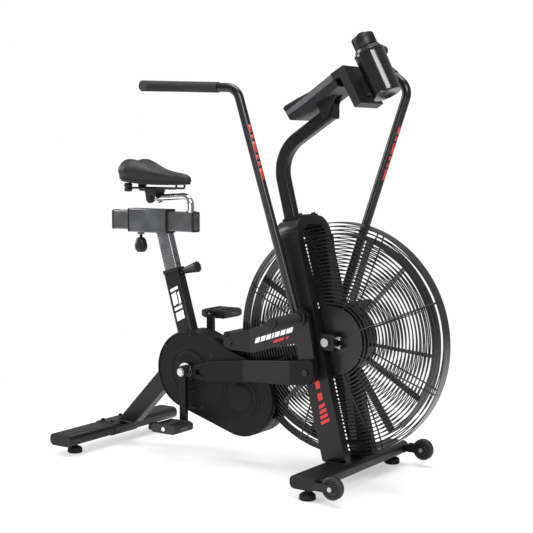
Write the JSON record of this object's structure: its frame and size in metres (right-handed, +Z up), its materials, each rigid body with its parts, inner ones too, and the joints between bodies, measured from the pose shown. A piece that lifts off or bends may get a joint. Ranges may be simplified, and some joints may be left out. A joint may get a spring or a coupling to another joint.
{
  "type": "air bike",
  "caption": "Air resistance exercise bike with a caged fan, moving handles, foot pegs, adjustable padded saddle, console and bottle holder on two stabilizers",
  "frame": {"origin": "centre of the bounding box in plan, on the floor", "axes": "+X towards the fan, +Y to the rider's left, +Z up"},
  "size_m": [1.3171, 0.6594, 1.3609],
  "materials": {
    "band_black": "gloss black band",
    "bearing_steel": "ground steel",
    "belt_rubber": "ribbed belt",
    "bolt_black": "blackened steel",
    "bottle_cap_pp": "ribbed black cap",
    "bottle_pp": "translucent bottle plastic",
    "bracket_grey": "satin grey moulding",
    "button_grey": "grey button",
    "cap_plastic": "textured black plastic",
    "case_plastic": "satin black moulding",
    "chrome": "bright chrome",
    "console_grey": "satin grey moulding",
    "fan_black": "dark coated sheet steel",
    "foot_rubber": "moulded rubber",
    "frame_coat": "satin black powder coat",
    "grip_rubber": "perforated grip rubber",
    "holder_gloss": "gloss black",
    "knob_plastic": "black knob plastic",
    "pedal_plastic": "black nylon",
    "post_silver": "brushed silver",
    "pulley_alu": "cast aluminium",
    "rod_coat": "satin black powder coat",
    "screen_glass": "dark display window",
    "sleeve_grey": "silver grey coat",
    "slider_silver": "brushed silver",
    "stab_coat": "satin black powder coat",
    "tube_coat": "satin black powder coat",
    "vinyl": "padded black vinyl",
    "wheel_tyre": "solid polyurethane wheel",
    "wire_black": "gloss black wire",
    "zinc": "zinc plated steel"
  },
  "bodies": {
    "frame": {"rear_stabilizer": "stab_coat", "front_stabilizer": "stab_coat", "end_caps": "cap_plastic", "main_frame": "frame_coat", "front_frame": "frame_coat", "mast": "frame_coat", "axle_blocks": "frame_coat", "frame_bolts": "bolt_black", "cage_rim_band": "band_black", "cage_grill_right": "wire_black", "cage_grill_left": "wire_black", "case_right": "case_plastic", "case_left": "case_plastic", "bearings": "bearing_steel", "fixed_axles": "zinc", "foot_pegs": "cap_plastic", "seat_collar": "cap_plastic", "drive_belt": "belt_rubber", "fan_belt": "belt_rubber"},
    "crank": {"crank_hardware": "chrome", "crank_pulley": "pulley_alu", "crank_discs": "rod_coat", "crank_arm_right": "rod_coat", "crank_arm_left": "rod_coat"},
    "pedal_r": {"pedal_right": "pedal_plastic"},
    "pedal_l": {"pedal_left": "pedal_plastic"},
    "jack": {"jackshaft": "pulley_alu"},
    "fan": {"fan_hub": "pulley_alu", "fan_blades": "fan_black"},
    "arm_r": {"handle_arm_right": "tube_coat", "grip_right": "grip_rubber"},
    "arm_l": {"handle_arm_left": "tube_coat", "grip_left": "grip_rubber"},
    "link_r": {"rod_right": "rod_coat"},
    "link_l": {"rod_left": "rod_coat"},
    "post": {"seat_post": "post_silver", "seat_sleeve": "sleeve_grey", "sleeve_bushings": "cap_plastic"},
    "slider": {"seat_slider": "slider_silver", "saddle_post": "chrome"},
    "seat": {"saddle_clamp": "chrome", "saddle": "vinyl"},
    "pin": {"height_pin": "knob_plastic"},
    "knob": {"slider_knob": "knob_plastic"},
    "tw_r": {"wheel_right": "wheel_tyre"},
    "tw_l": {"wheel_left": "wheel_tyre"},
    "foot_rr": {"foot_rear_right": "foot_rubber"},
    "foot_rl": {"foot_rear_left": "foot_rubber"},
    "foot_fr": {"foot_front_right": "foot_rubber"},
    "foot_fl": {"foot_front_left": "foot_rubber"},
    "console": {"console_body": "console_grey", "console_screen": "screen_glass", "accessory_bracket": "bracket_grey", "bottle_holder": "holder_gloss"},
    "btn_l": {"button_left": "button_grey"},
    "btn_m": {"button_mid": "button_grey"},
    "btn_r": {"button_right": "button_grey"},
    "bottle": {"bottle": "bottle_pp"},
    "cap": {"bottle_cap": "bottle_cap_pp"}
  },
  "joints": [
    {"name": "fan_spin", "type": "hinge", "parent": "frame", "child": "fan", "pos_m": [0.3015, 0, 0.437], "axis": [0, 1, 0], "continuous": true},
    {"name": "crank_spin", "type": "hinge", "parent": "frame", "child": "crank", "pos_m": [-0.2535, 0, 0.29], "axis": [0, 1, 0], "continuous": true},
    {"name": "jack_spin", "type": "hinge", "parent": "frame", "child": "jack", "pos_m": [-0.0455, 0, 0.222], "axis": [0, 1, 0], "continuous": true},
    {"name": "pedal_spin_right", "type": "hinge", "parent": "crank", "child": "pedal_r", "pos_m": [-0.2535, -0.137, 0.118], "axis": [0, 1, 0], "continuous": true},
    {"name": "pedal_spin_left", "type": "hinge", "parent": "crank", "child": "pedal_l", "pos_m": [-0.2535, 0.137, 0.462], "axis": [0, 1, 0], "continuous": true},
    {"name": "handle_swing_right", "type": "hinge", "parent": "frame", "child": "arm_r", "pos_m": [0.2315, -0.119, 0.51], "axis": [0, 1, 0], "range_deg": [0, 34]},
    {"name": "handle_swing_left", "type": "hinge", "parent": "frame", "child": "arm_l", "pos_m": [0.2315, 0.119, 0.51], "axis": [0, 1, 0], "range_deg": [-34, 0]},
    {"name": "rod_swing_right", "type": "hinge", "parent": "arm_r", "child": "link_r", "pos_m": [0.26015, -0.137, 0.34751], "axis": [0, 1, 0], "range_deg": [-51, 0]},
    {"name": "rod_swing_left", "type": "hinge", "parent": "arm_l", "child": "link_l", "pos_m": [0.16439, 0.137, 0.35927], "axis": [0, 1, 0], "range_deg": [0, 13.6]},
    {"name": "seat_height", "type": "slide", "parent": "frame", "child": "post", "axis": [-0.2823, 0, 0.9593], "range_m": [0, 0.1]},
    {"name": "seat_fore_aft", "type": "slide", "parent": "post", "child": "slider", "axis": [1, 0, 0], "range_m": [-0.05, 0.06]},
    {"name": "saddle_tilt", "type": "hinge", "parent": "slider", "child": "seat", "pos_m": [-0.4295, 0, 0.851], "axis": [0, 1, 0], "range_deg": [-4.5, 4.5]},
    {"name": "height_pin_pull", "type": "slide", "parent": "frame", "child": "pin", "axis": [0.9593, 0, 0.2823], "range_m": [0, 0.012], "stiffness_N_per_m": 400},
    {"name": "slider_knob_turn", "type": "hinge", "parent": "post", "child": "knob", "pos_m": [-0.4915, 0, 0.7], "axis": [0, 0, 1], "range_deg": [0, 270]},
    {"name": "wheel_spin_right", "type": "hinge", "parent": "frame", "child": "tw_r", "pos_m": [0.4415, -0.2805, 0.054], "axis": [0, 1, 0], "continuous": true},
    {"name": "wheel_spin_left", "type": "hinge", "parent": "frame", "child": "tw_l", "pos_m": [0.4415, 0.2805, 0.054], "axis": [0, 1, 0], "continuous": true},
    {"name": "foot_rear_right_turn", "type": "hinge", "parent": "frame", "child": "foot_rr", "pos_m": [-0.6105, -0.212, 0.04], "axis": [0, 0, 1], "continuous": true},
    {"name": "foot_rear_left_turn", "type": "hinge", "parent": "frame", "child": "foot_rl", "pos_m": [-0.6105, 0.212, 0.04], "axis": [0, 0, 1], "continuous": true},
    {"name": "foot_front_right_turn", "type": "hinge", "parent": "frame", "child": "foot_fr", "pos_m": [0.3415, -0.256, 0.04], "axis": [0, 0, 1], "continuous": true},
    {"name": "foot_front_left_turn", "type": "hinge", "parent": "frame", "child": "foot_fl", "pos_m": [0.3415, 0.256, 0.04], "axis": [0, 0, 1], "continuous": true},
    {"name": "console_tilt", "type": "hinge", "parent": "frame", "child": "console", "pos_m": [0.2495, 0, 1.1145], "axis": [0, 1, 0], "range_deg": [-4, 4.5]},
    {"name": "button_left_press", "type": "slide", "parent": "console", "child": "btn_l", "axis": [0.549, 0, -0.8358], "range_m": [0, 0.0025], "stiffness_N_per_m": 800},
    {"name": "button_mid_press", "type": "slide", "parent": "console", "child": "btn_m", "axis": [0.549, 0, -0.8358], "range_m": [0, 0.0025], "stiffness_N_per_m": 800},
    {"name": "button_right_press", "type": "slide", "parent": "console", "child": "btn_r", "axis": [0.549, 0, -0.8358], "range_m": [0, 0.0025], "stiffness_N_per_m": 800},
    {"name": "bottle_lift", "type": "slide", "parent": "console", "child": "bottle", "axis": [-0.4614, 0, 0.8872], "range_m": [0, 0.16]},
    {"name": "bottle_cap_turn", "type": "hinge", "parent": "bottle", "child": "cap", "pos_m": [0.37376, 0, 1.32926], "axis": [-0.4614, 0, 0.8872], "range_deg": [0, 270]}
  ],
  "couplings": [
    {"joint": "jack_spin", "follows": "crank_spin", "ratio": 3.6296},
    {"joint": "fan_spin", "follows": "crank_spin", "ratio": 11.168},
    {"joint": "handle_swing_left", "follows": "handle_swing_right", "ratio": -1},
    {"joint": "rod_swing_right", "follows": "handle_swing_right", "ratio": -1.5},
    {"joint": "rod_swing_left", "follows": "handle_swing_right", "ratio": 0.4}
  ]
}
